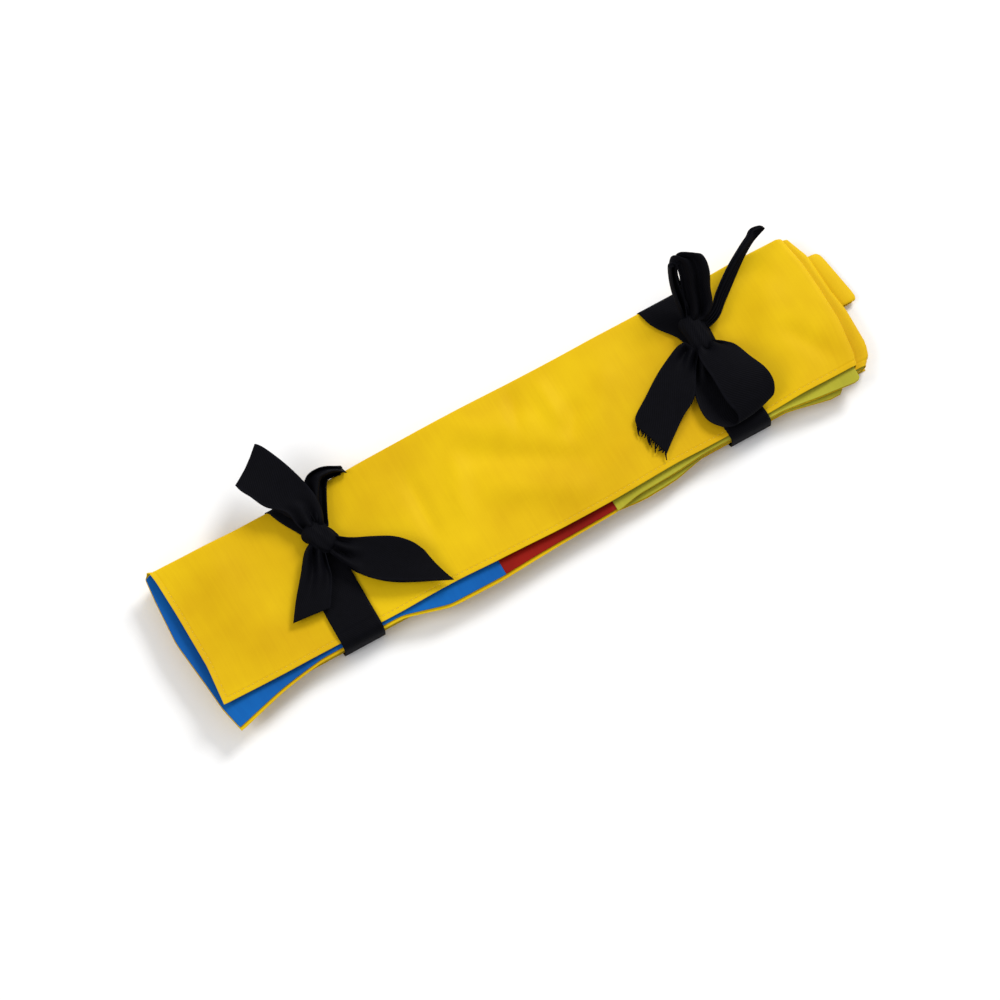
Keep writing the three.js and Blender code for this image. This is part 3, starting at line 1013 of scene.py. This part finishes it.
@dataclass
class Sash:
    """The sewn sash: outer cloth, three lining panels, its rolled end and its topstitching."""

    bundle: Bundle
    hem_inset: float = 1.6
    lime_inset: float = 0.25
    blue_length: float = 171.0
    red_length: float = 71.5
    flat_width: float = 183.0
    stitch_pitch: float = 2.9
    stitch_length: float = 2.2
    stitch_width: float = 0.42
    stitch_inset: float = 3.0
    first_stitch: float = 0.6
    # How far across the cloth the free end's stitches can be seen.
    free_end_stitches: float = 80.0
    # How deep a stitch's ends sink into the cloth, and how far its middle rises from there.
    stitch_sink: float = 0.14
    stitch_rise: float = 0.16
    # The cloth's thickness gained in a doubled hem, and lost under the stitching.
    hem_rise: float = 0.3
    hem_edge: tuple[float, float] = (3.3, 4.6)
    groove_depth: float = 0.38
    groove_width: float = 0.55
    rim_rise: float = 0.8
    rim_width: float = 1.5
    seam_gap: float = 0.1
    end_inset: float = 0.4
    far_inset: float = 1.5
    roll_turns: float = 1.9
    roll_thickness: float = 0.45
    roll_half_height: float = 2.5
    roll_level: float = 3.0
    # The share of its width that the roll loses on its way inwards.
    roll_tightening: float = 0.4
    roll_rows: int = 96
    roll_columns: int = 34
    # How far the cloth keeps inside the roll's box, on the near side and on the right.
    roll_near_gap: float = 3.5
    roll_right_gap: float = 1.6
    # The roll lies this much askew, in x for each y.
    roll_slant: float = 0.15
    # The share of its girth that is left at its rounded ends.
    roll_end_girth: float = 0.66
    path: SashPath = field(init=False)

    def __post_init__(self) -> None:
        """Lays out the sash's way through the bundle."""
        self.path = SashPath(self.bundle)

    def ply(self, finish: Finish) -> FoldedPly:
        """Describes the outer cloth, or a lining inside it.

        Args:
            finish: What the ply is made of. Only the lime lining covers the hem.

        Returns:
            The ply.
        """
        b = self.bundle
        if finish is Finish.YELLOW:
            return FoldedPly(self.path, b.outer_thickness / 2, b.outer_thickness, 0.0)
        depth = b.outer_thickness + b.ply_gap + b.lining_thickness / 2
        inset = self.lime_inset if finish is Finish.LIME else self.hem_inset
        return FoldedPly(self.path, depth, b.lining_thickness, inset)

    def build(self) -> None:
        """Builds and dresses every piece of the sash."""
        self.outer_cloth()
        self.lining_panels()
        self.rolled_end()
        self.topstitching()

    def panel(
        self, name: str, low: float, high: float, finish: Finish, nodes: Sequence[str]
    ) -> None:
        """Makes one piece of cloth between two places along the sash.

        Args:
            name: The piece's name.
            low: Where along the sash it starts.
            high: Where it ends.
            finish: What it is made of.
            nodes: The CAD nodes it stands for.
        """
        ply = self.ply(finish)
        points, along, across = ply.grid(low, high)
        if finish is Finish.YELLOW:
            points = self.hem_relief(points, along, across)
        sheet = Sheet(name, points, ply.thickness, along=along, across=across)
        piece = settle(sheet.build(finish, self.bundle.shift), "bundle", finish, *nodes)

    def outer_cloth(self) -> None:
        """The yellow outer cloth, one strip through every run and turn."""
        length = self.path.along()[-1]
        runs = [f"outer_cloth_run_{k + 1}" for k in range(self.bundle.runs)]
        turns = [f"cloth_turn_{k + 1}_{k + 2}" for k in range(self.bundle.runs - 1)]
        self.panel("sash_outer_cloth", 0.0, length, Finish.YELLOW, runs + turns)

    def hem_relief(self, points: np.ndarray, along: np.ndarray, across: np.ndarray) -> np.ndarray:
        """Raises the doubled hems and draws them in along the topstitching.

        Args:
            points: The outer cloth's grid.
            along: How far its rows are along the cloth.
            across: How far its columns are across it.

        Returns:
            The grid with its hems.
        """
        inward = np.minimum(across, across[-1] - across)
        from_end = np.minimum(along, along[-1] - along)
        distance = np.minimum(inward[None, :], from_end[:, None])
        hem = self.hem_rise * (1 - smoothstep(distance, *self.hem_edge))
        aside = (distance - self.stitch_inset) / self.groove_width
        groove = self.groove_depth * np.exp(-(aside**2))
        # The upper leaf's free end is turned in once more.
        rim = self.rim_rise * np.exp(-((along / self.rim_width) ** 2))[:, None]
        upper = np.arange(len(across))[None, :] < len(across) // 2
        relief = hem - groove + rim * upper
        moved = points + grid_normals(points) * relief[..., None]
        moved[..., 2] = np.maximum(moved[..., 2], self.bundle.outer_thickness / 2)
        return moved

    def lining_panels(self) -> None:
        """The blue, red and lime lining panels, sewn end to end inside the fold."""
        length = self.path.along()[-1]
        blue_end = self.blue_length
        red_end = blue_end + self.red_length
        lime = [f"lining_panel_lime_run_{k + 1}" for k in range(self.bundle.runs)]
        gap = self.seam_gap
        self.panel("lining_blue", self.end_inset, blue_end, Finish.BLUE, ["lining_panel_blue"])
        self.panel("lining_red", blue_end + gap, red_end, Finish.RED, ["lining_panel_red"])
        self.panel("lining_lime", red_end + gap, length - self.far_inset, Finish.LIME, lime)

    def rolled_end(self) -> None:
        """The sash's far end, rolled flat to a narrower tube that sticks out."""
        low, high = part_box("rolled_sash_end")
        shift = self.bundle.shift
        start, end = low.x / MM - shift[0], high.x / MM - shift[0]
        near = low.y / MM - shift[1] + self.roll_near_gap
        far = high.y / MM - shift[1]
        angle = np.linspace(0.0, 2 * math.pi * self.roll_turns, self.roll_rows)
        shrink = 1 - self.roll_tightening * angle / angle[-1]
        half_length = (end - start) / 2
        centre = (start + end) / 2 - self.roll_right_gap
        span = smoothstep(np.linspace(0.0, 1.0, self.roll_columns), 0.0, 1.0)
        y = near + (far - near) * span
        round_end = np.sqrt(np.clip(1 - (1 - 2 * span) ** 10, 0.0, 1.0))
        girth = self.roll_end_girth + (1 - self.roll_end_girth) * round_end
        slant = self.roll_slant * (y - (near + far) / 2)
        x = centre + np.outer(np.cos(angle) * shrink * half_length, girth) - slant
        z = self.roll_level + np.outer(np.sin(angle) * shrink * self.roll_half_height, girth)
        points = np.stack([x, np.broadcast_to(y, x.shape), z], axis=-1)
        sheet = Sheet("sash_rolled_end", points, self.roll_thickness)
        roll = sheet.build(Finish.YELLOW, shift)
        piece = settle(roll, "bundle", Finish.YELLOW, "rolled_sash_end")

    def topstitching(self) -> None:
        """The visible stitches along the top leaf's hem and across its free end."""
        points, along, across = self.ply(Finish.YELLOW).grid(0.0, self.path.along()[-1])
        normals = grid_normals(points)
        top_length = self.bundle.run_right - self.bundle.left - 6.0
        last_row = int(np.searchsorted(along, top_length))
        last_column = int(np.argmin(np.abs(across - self.free_end_stitches)))
        row = int(np.argmin(np.abs(along - self.stitch_inset)))
        column = int(np.argmin(np.abs(across - self.stitch_inset)))
        for name, part, node in (
            ("stitches_long_hem", (slice(row, last_row), column), "hem_thread_long_edge"),
            ("stitches_free_end", (row, slice(column, last_column)), "hem_thread_free_end"),
        ):
            outward = normals[part] * np.sign(normals[part][:, 2:])
            self.stitch_row(name, points[part], outward, node)

    def stitch_row(self, name: str, line: np.ndarray, normal: np.ndarray, node: str) -> None:
        """Sews one row of stitches along a line on the cloth.

        Args:
            name: The piece's name.
            line: Places along the middle of the ply.
            normal: The outward normal at each place.
            node: The CAD node it stands for.
        """
        along = running_length(np.linalg.norm(np.diff(line, axis=0), axis=1))
        last = along[-1] - self.stitch_length
        starts = np.arange(self.first_stitch, last, self.stitch_pitch)
        surface = self.bundle.outer_thickness / 2
        part = np.linspace(0.0, 1.0, 5)
        arch = np.sin(part * math.pi)
        tubes = Tubes()
        for start in starts:
            places = start + part * self.stitch_length
            middle = np.column_stack([np.interp(places, along, line[:, i]) for i in range(3)])
            out = np.column_stack([np.interp(places, along, normal[:, i]) for i in range(3)])
            middle += out * (surface - self.stitch_sink + self.stitch_rise * arch)[:, None]
            tubes.add(middle, self.stitch_width / 2 * (0.35 + 0.65 * arch), out[0])
        piece = tubes.build(name, Finish.THREAD, self.bundle.shift)
        settle(piece, "bundle", Finish.THREAD, node)


# ---- Ribbon ties --------------------------------------------------------------------------

Station = tuple[tuple[float, float, float], tuple[float, float, float]]


@dataclass
class RibbonStrip:
    """A loop or tail of a bow, given by where its two edges lie at a few stations.

    Places are measured from the middle of the knot, with height above the ribbon's band.
    """

    name: str
    stations: tuple[Station, ...]
    held: str
    pleats: float = 2.0
    crown: float = 0.8
    frayed: bool = False
    thickness: float = 0.5
    rows: int = 72
    columns: int = 37
    # The strip is fully pleated at the first width, and lies open at the second.
    gather: tuple[float, float] = (12.0, 23.0)
    # The pleats fade out over this many stations beside the knot.
    root_fade: float = 0.6
    threads: int = 15
    thread_length: tuple[float, float] = (1.8, 6.0)
    thread_radius: tuple[float, float] = (0.5, 0.85)

    def grid(self) -> np.ndarray:
        """Lays the strip between its edges, gathered into pleats where it is drawn in.

        Returns:
            The grid of places, from the knot outwards.
        """
        places = np.linspace(0.0, len(self.stations) - 1.0, self.rows)
        left = spline([station[0] for station in self.stations], places)
        right = spline([station[1] for station in self.stations], places)
        across = np.linspace(0.0, 1.0, self.columns)
        points = left[:, None] + (right - left)[:, None] * across[None, :, None]
        normal = grid_normals(points)
        width = np.linalg.norm(right - left, axis=1)
        gathered = 1 - smoothstep(width, *self.gather)
        slack = np.sqrt(np.maximum(RIBBON_WIDTH**2 - width**2, 0.0)) / (4 * self.pleats)
        folds = np.sin(across * 2 * math.pi * self.pleats)
        rooted = smoothstep(places, 0.0, self.root_fade)
        if self.held == "folded":
            rooted = rooted * smoothstep(places[-1] - places, 0.0, self.root_fade)
        ripple = (slack * gathered * rooted)[:, None] * folds[None, :]
        arch = self.crown * (1 - gathered)[:, None] * np.sin(across * math.pi)[None, :]
        return points + normal * (ripple + arch)[..., None]

    def build(
        self, origin: np.ndarray, shift: np.ndarray, body: str, node: str
    ) -> bpy.types.Object:
        """Args:
            origin: The knot's middle, at the height of the band's top.
            shift: Where the bundle's own frame lies in the object's frame.
            body: The CAD body it moves with.
            node: The CAD node it stands for.

        Returns:
            The piece.
        """
        points = self.grid() + origin
        across = np.linspace(0.0, RIBBON_WIDTH, self.columns)
        sheet = Sheet(self.name, points, self.thickness, across=across)
        piece = settle(sheet.build(Finish.RIBBON, shift), body, Finish.RIBBON, node)
        if self.frayed:
            self.fringe(points, shift, body)
        return piece

    def fringe(self, points: np.ndarray, shift: np.ndarray, body: str) -> None:
        """Adds the loose warp threads that hang from the raw end.

        Args:
            points: The strip's grid of places.
            shift: Where the bundle's own frame lies in the object's frame.
            body: The CAD body it moves with.
        """
        chance = np.random.default_rng(SEED)
        end = points[-1]
        edge = end[-1] - end[0]
        sideways = edge / np.linalg.norm(edge)
        away = (end - points[-3]).mean(axis=0)
        away /= np.linalg.norm(away)
        upwards = np.array([0.0, 0.0, 1.0])
        part = np.linspace(0.0, 1.0, 6)
        tubes = Tubes(sides=5)
        for place in np.linspace(0.04, 0.96, self.threads):
            length = chance.uniform(*self.thread_length)
            sway = chance.uniform(-0.6, 0.6)
            wave = 0.3 * np.sin(part * 4 + place * 20)
            line = (
                end[0] + edge * place - away * 0.5
                + np.outer(part * length, away)
                + np.outer(part**2 * length * sway, sideways)
                + np.outer(wave, upwards)
            )
            radius = chance.uniform(*self.thread_radius)
            tubes.add(line, radius * (1 - 0.6 * part), upwards)
        piece = tubes.build(self.name + "_fringe", Finish.RIBBON, shift)
        settle(piece, body, Finish.RIBBON)


@dataclass
class RibbonTie:
    """One ribbon round the bundle: its band, its knot, and its bow's loops and tails."""

    side: str
    bundle: Bundle
    strips: tuple[RibbonStrip, ...]
    neck: float = 13.0
    neck_reach: float = 19.0
    thickness: float = 0.5
    knot_turn: float = 0.0
    # The wrap's width and length, as parts of the CAD knot's.
    knot_size: tuple[float, float] = (0.98, 1.42)
    # How far the band leans from straight across the bundle, in x for each y.
    lean: float = 0.0
    corner: float = 2.2
    band_rows: int = 168
    band_columns: int = 15
    band_crown: float = 0.16
    pleat: float = 0.3
    knot_rows: int = 44
    knot_columns: int = 64

    @property
    def knot(self) -> np.ndarray:
        """The knot's middle in plan, at the height of the band's top.

        Returns:
            Its place in the bundle's own frame.
        """
        low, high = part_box(f"ribbon_{self.side}_knot")
        middle = (np.array(low) + np.array(high)) / 2 / MM - self.bundle.shift
        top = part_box(f"ribbon_{self.side}_band")[1].z / MM
        return np.array([middle[0], middle[1], top])

    def build(self) -> None:
        """Builds and dresses the whole tie."""
        self.band()
        self.knot_wrap()
        for strip in self.strips:
            body = f"{self.side}_{strip.name}"
            node = f"ribbon_{self.side}_{strip.name}"
            strip.name = node + "_cloth"
            strip.build(self.knot, self.bundle.shift, body, node)

    def box(self, node: str) -> tuple[np.ndarray, np.ndarray]:
        """The lowest and the highest corner of a CAD node, in the bundle's own frame."""
        low, high = (np.array(corner) / MM - self.bundle.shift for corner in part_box(node))
        return low, high

    def contour(self, low: np.ndarray, high: np.ndarray) -> tuple[np.ndarray, ...]:
        """Draws the band's way round the bundle, as seen from the bundle's end.

        Args:
            low: The lowest corner of the band.
            high: Its highest corner.

        Returns:
            The y and the z of evenly spaced places, and the length of the way round up to
            each corner.
        """
        half = self.thickness / 2
        near, far = low[1] + half, high[1] - half
        bottom, top = low[2] + half, high[2] - half
        corner = self.corner
        corners = [
            (near + 9.0, top), (near + 3.2, top - 0.3), (near + 0.9, top - 2.2),
            (near, top - 5.0), (near, bottom + corner), (near + corner * 0.7, bottom + 0.3),
            (near + 2 * corner, bottom), (0.0, bottom), (far - 2 * corner, bottom),
            (far - corner * 0.6, bottom + 0.4), (far, bottom + corner), (far, top - corner),
            (far - corner * 0.6, top - 0.4), (far - 2 * corner, top), (far - 9.0, top),
            (self.knot[1], top + 0.3), (0.0, top), (-20.0, top),
        ]
        loop = np.array(corners + corners[:1])
        lengths = running_length(np.linalg.norm(np.diff(loop, axis=0), axis=1))
        even = np.linspace(0.0, lengths[-1], self.band_rows, endpoint=False)
        y, z = (np.interp(even, lengths, loop[:, i]) for i in (0, 1))
        for _ in range(3):
            y, z = ((np.roll(v, 1) + 2 * v + np.roll(v, -1)) / 4 for v in (y, z))
        return y, z, lengths

    def band(self) -> None:
        """The ribbon's turn round the bundle, drawn in to a neck where it is knotted."""
        node = f"ribbon_{self.side}_band"
        low, high = self.box(node)
        y, z, lengths = self.contour(low, high)
        top = high[2] - self.thickness / 2
        on_top = smoothstep(z, top - 2.5, top - 0.2)
        pull = on_top * np.exp(-(((y - self.knot[1]) / self.neck_reach) ** 2))
        middle = (low[0] + high[0]) / 2 - self.lean * y
        full = (high[0] - low[0]) / 2
        centre = middle + (self.knot[0] - middle) * pull
        half_width = full + (self.neck / 2 - full) * pull
        across = np.linspace(-1.0, 1.0, self.band_columns)
        x = centre[:, None] + half_width[:, None] * across[None, :]
        pleats = self.pleat * pull[:, None] * (1 + np.sin(across * 9.0))[None, :]
        crown = self.band_crown * (1 - across**2)[None, :] * on_top[:, None]
        y_grid = np.broadcast_to(y[:, None], x.shape)
        points = np.stack([x, y_grid, z[:, None] + pleats + crown], axis=-1)
        sheet = Sheet(
            node + "_cloth", points, self.thickness, closed=True,
            along=np.linspace(0.0, lengths[-1], self.band_rows, endpoint=False),
            across=np.linspace(0.0, RIBBON_WIDTH, self.band_columns),
        )
        body = f"tie_{self.side}"
        piece = settle(sheet.build(Finish.RIBBON, self.bundle.shift), body, Finish.RIBBON, node)

    def wrap(self, low: np.ndarray, high: np.ndarray) -> np.ndarray:
        """Shapes the knot: rings from one end to the other, and then its two end points.

        Args:
            low: The lowest corner of the knot.
            high: Its highest corner.

        Returns:
            The vertices, one row each.
        """
        centre = (low + high) / 2
        half = (high - low) / 2 * np.array([*self.knot_size, 1.0])
        around = np.linspace(0.0, 2 * math.pi, self.knot_columns, endpoint=False)
        turn = math.radians(self.knot_turn)
        sideways = np.array([math.cos(turn), math.sin(turn), 0.0])
        ahead = np.array([-math.sin(turn), math.cos(turn), 0.0])
        rings = []
        for rise in np.linspace(0.0, math.pi, self.knot_rows + 2)[1:-1]:
            place = math.cos(rise)
            pleats = 1 + 0.07 * np.sin(around * 3 + 4 * place)
            pleats = pleats + 0.045 * np.sin(around * 9 + 2.5 * place)
            waist = 1 - 0.14 * math.exp(-((place / 0.35) ** 2))
            girth = math.sin(rise) ** 0.5 * pleats * waist
            across = np.outer(girth * np.cos(around) * half[0], sideways)
            up = np.outer(girth * np.sin(around) * half[2], (0.0, 0.0, 1.0))
            rings.append(across + up + ahead * half[1] * place + centre)
        ends = [centre + ahead * half[1] * end for end in (1, -1)]
        return np.concatenate([*rings, np.array(ends)])

    def knot_wrap(self) -> None:
        """The knot: a tight, pleated wrap of ribbon with its plies bulging round it."""
        node = f"ribbon_{self.side}_knot"
        vertices = self.wrap(*self.box(node))
        rows, columns = self.knot_rows, self.knot_columns
        first, last = rows * columns, rows * columns + 1
        faces: list[tuple[int, ...]] = []
        for c in range(columns):
            n = (c + 1) % columns
            for r in range(0, (rows - 1) * columns, columns):
                faces.append((r + c, r + n, r + n + columns, r + c + columns))
            faces.append((first, n, c))
            faces.append((last, first - columns + c, first - columns + n))
        girdle = np.tile(np.linspace(0.0, 60.0, columns), rows)
        width = np.repeat(np.linspace(2.0, 23.0, rows), columns)
        cloth = np.column_stack([np.append(girdle, [0, 0]), np.append(width, [2, 23])]) * MM
        places = (vertices + self.bundle.shift) * MM
        piece = mesh_object(node + "_wrap", places, faces, Finish.RIBBON, cloth)
        settle(piece, f"tie_{self.side}", Finish.RIBBON, node)


def left_tie(bundle: Bundle) -> RibbonTie:
    """Describes the tie near the free end: two flat loops, a cut tail, and a tail over the edge.

    Args:
        bundle: The bundle that it holds.

    Returns:
        The tie.
    """
    strips = (
        RibbonStrip("loop_far", held="folded", stations=(
            ((-5, 5, 5.4), (4.4, 3.5, 5.4)),
            ((-8, 11, 7), (7.5, 11, 7.5)),
            ((-10, 20, 9), (8.5, 20.7, 9.5)),
            ((-18.5, 28, 10), (6.5, 32, 11)),
            ((-23, 37, 11), (2.5, 45, 12)),
            ((-26.5, 45.5, 10.5), (-3, 58.5, 11.5)),
            ((-26.5, 47, 8.5), (-6, 63, 9)),
            ((-24.5, 42, 6.5), (-3, 56, 6.5)),
            ((-15, 27, 5), (5.5, 32, 5)),
            ((-5.5, 12, 3.8), (6, 13, 3.8)),
            ((-4, 6.5, 3.6), (3.5, 6, 3.6)),
        )),
        RibbonStrip("loop_near", held="folded", stations=(
            ((5, -2, 6), (0, -11, 5.5)),
            ((13, -9.5, 9), (6, -24, 6)),
            ((24, -15.5, 11), (13, -35.5, 6.5)),
            ((34.5, -21.5, 11), (25, -44, 6.5)),
            ((42, -29, 9.5), (40, -52, 6)),
            ((45.5, -36, 7), (51.5, -57.5, 4.6)),
            ((43, -31, 4.5), (44, -53.5, 3)),
            ((28, -20.5, 4), (21, -41, 2.6)),
            ((13, -11, 3.8), (7, -26, 3)),
            ((5, -5, 3.5), (1, -10, 3.5)),
        )),
        RibbonStrip("tail_near", held="laid", stations=(
            ((-7, -0.5, 5.2), (-1.5, -7.5, 5.2)),
            ((-12.5, -4.5, 4.8), (-3.5, -15, 4.6)),
            ((-19.5, -13.5, 4.2), (-5.5, -23, 4.2)),
            ((-29, -25, 3.2), (-10, -31, 3.6)),
            ((-36.6, -35.5, 2.4), (-14.6, -38, 2.8)),
        )),
        RibbonStrip("tail_far", held="laid", pleats=1.5, stations=(
            ((-2, 8, 5), (7, 3, 5)),
            ((-1, 15, 6), (9.5, 9, 4.2)),
            ((4, 26, 7.5), (14.5, 19, 3.4)),
            ((10, 33, 8), (19, 26.5, 3)),
            ((18, 34.5, 6.5), (23, 27.5, 1.5)),
            ((25, 33, 3.5), (27, 27.5, -0.5)),
            ((30.5, 30, 0.5), (30.3, 27.5, -2)),
        )),
    )
    return RibbonTie("left", bundle, strips, knot_turn=28.0)


def right_tie(bundle: Bundle) -> RibbonTie:
    """Describes the tie near the turned end: an upright loop, a full loop, and two tails.

    Args:
        bundle: The bundle that it holds.

    Returns:
        The tie.
    """
    strips = (
        RibbonStrip("loop_far", held="folded", crown=1.6, stations=(
            ((-2, 7.5, 6.5), (8.5, 4, 6)),
            ((1, 15, 11), (15, 9.5, 10)),
            ((3.5, 24, 18), (17.5, 16.5, 17)),
            ((4.8, 29, 24), (20.5, 23, 24)),
            ((5, 33.5, 28.5), (21, 29, 29)),
            ((3.5, 35.5, 29.5), (18.5, 33, 30.5)),
            ((1.5, 36, 27), (9, 36, 28)),
            ((-1, 30, 20), (5, 31, 20)),
            ((-2.5, 22, 13), (5, 22, 12)),
            ((-3.5, 10, 6), (5, 10, 5)),
        )),
        RibbonStrip("loop_near", held="folded", crown=1.2, stations=(
            ((-3, -6, 6), (5, -7, 6)),
            ((-7, -14.5, 9), (13.5, -16, 9.5)),
            ((-7, -29, 11), (17.5, -28, 12)),
            ((-7, -43, 10), (21.5, -38, 11.5)),
            ((-5, -53, 7.5), (22, -46, 8.5)),
            ((-8, -56.5, 4.6), (18, -52, 5)),
            ((-15, -53.5, 3.2), (10, -50, 3.2)),
            ((-20.5, -44, 3), (4, -44, 2.6)),
            ((-18, -28, 3.2), (3, -28, 2.6)),
            ((-8, -12, 3.6), (2, -12, 3.4)),
            ((-4, -6, 3.6), (3, -6, 3.6)),
        )),
        RibbonStrip("tail_near", held="laid", frayed=True, stations=(
            ((-8.5, -1, 5), (-4, -9, 5)),
            ((-15, -2, 5.6), (-10.5, -17, 5)),
            ((-30, -9, 4.6), (-19.5, -31, 4.2)),
            ((-43, -17.5, 3.4), (-31, -38, 3.2)),
            ((-53.5, -24.5, 2.6), (-42, -46, 2.6)),
            ((-55.8, -29.5, 2.4), (-49.2, -51.6, 2.4)),
        )),
        RibbonStrip("tail_far", held="laid", pleats=4.0, stations=(
            ((6, 4.5, 5.2), (7.5, 0, 4)),
            ((14, 8, 7), (14.5, 2.5, 4)),
            ((22, 15, 9.5), (22, 9, 3.6)),
            ((34, 23, 13.5), (32.5, 17.5, 4.5)),
            ((45, 29, 15), (43, 25.5, 7)),
            ((51.5, 32.5, 14.5), (51.5, 30.5, 9.5)),
            ((55, 35.5, 14), (57.5, 32.5, 10)),
            ((61, 35, 13), (62.5, 33.8, 12)),
        )),
    )
    return RibbonTie(
        "right", bundle, strips, neck=17.0, neck_reach=13.0, knot_turn=6.0,
        knot_size=(0.92, 1.7), lean=0.09,
    )


# ---- Studio -------------------------------------------------------------------------------


@dataclass
class Studio:
    """The floor, the soft lights and the camera."""

    bundle: Bundle
    azimuth: float = -29.6
    elevation: float = 72.0
    lens: float = 200.0
    frame_width: float = 551.0
    left_of_middle: float = 2.3
    below_middle: float = 17.6
    floor_half: float = 3000.0
    sky_strength: float = 0.6

    def build(self) -> None:
        """Sets up the floor, the lights, the sky and the camera."""
        self.floor()
        self.light("key_softbox", 1000.0, (2000.0, 1100.0, 1900.0), 58.0)
        self.light("fill_softbox", 1200.0, (-1900.0, 300.0, 1900.0), 20.0)
        self.sky()
        self.camera()

    def floor(self) -> None:
        """A wide pale board for the sash to lie on."""
        corners = np.array([[-1, -1, 0], [1, -1, 0], [1, 1, 0], [-1, 1, 0]]) * self.floor_half
        mesh = bpy.data.meshes.new("floor")
        mesh.from_pydata((corners * MM).tolist(), [], [(0, 1, 2, 3)])
        mesh.materials.append(PaintedFloor().build())
        board = bpy.data.objects.new("floor", mesh)
        bpy.context.scene.collection.objects.link(board)

    def light(
        self, name: str, size: float, place: tuple[float, float, float], power: float
    ) -> None:
        """Hangs a square softbox that faces the sash.

        Args:
            name: The light's name.
            size: Its side in millimetres.
            place: Where it hangs, in millimetres.
            power: Its power in watts.
        """
        lamp = bpy.data.lights.new(name, "AREA")
        lamp.size = size * MM
        lamp.energy = power
        holder = bpy.data.objects.new(name, lamp)
        holder.location = Vector(place) * MM
        holder.rotation_euler = (-holder.location).to_track_quat("-Z", "Y").to_euler()
        bpy.context.scene.collection.objects.link(holder)

    def sky(self) -> None:
        """An even pale surround, as in a light tent."""
        world = bpy.data.worlds.new("light_tent")
        world.use_nodes = True
        background = world.node_tree.nodes["Background"]
        background.inputs["Color"].default_value = linear("fdfdff")
        background.inputs["Strength"].default_value = self.sky_strength
        bpy.context.scene.world = world
        bpy.context.scene.view_settings.view_transform = "Standard"

    def camera(self) -> None:
        """A long lens, looking down across the sash from its free end."""
        turn, tip = math.radians(self.azimuth), math.radians(self.elevation)
        right = Vector((math.cos(turn), math.sin(turn), 0.0))
        ahead = Vector((-math.sin(turn), math.cos(turn), 0.0))
        sky = Vector((0.0, 0.0, 1.0))
        back = sky * math.sin(tip) - ahead * math.cos(tip)
        up = ahead * math.sin(tip) + sky * math.cos(tip)
        lens = bpy.data.cameras.new("camera")
        lens.lens = self.lens
        lens.clip_end = 10.0
        distance = self.frame_width * self.lens / lens.sensor_width
        middle = Vector((*self.bundle.shift[:2], self.bundle.height))
        target = middle - up * self.below_middle - right * self.left_of_middle
        view = bpy.data.objects.new("camera", lens)
        view.location = (target + back * distance) * MM
        view.rotation_euler = back.to_track_quat("Z", "Y").to_euler()
        bpy.context.scene.collection.objects.link(view)
        bpy.context.scene.camera = view


def main() -> None:
    """Builds the studio, the sash and its two ties, in that order."""
    logging.basicConfig(level=logging.INFO, format="%(name)s: %(message)s")
    bundle = Bundle()
    Studio(bundle).build()
    Sash(bundle).build()
    left_tie(bundle).build()
    right_tie(bundle).build()


if __name__ == "__main__":
    main()
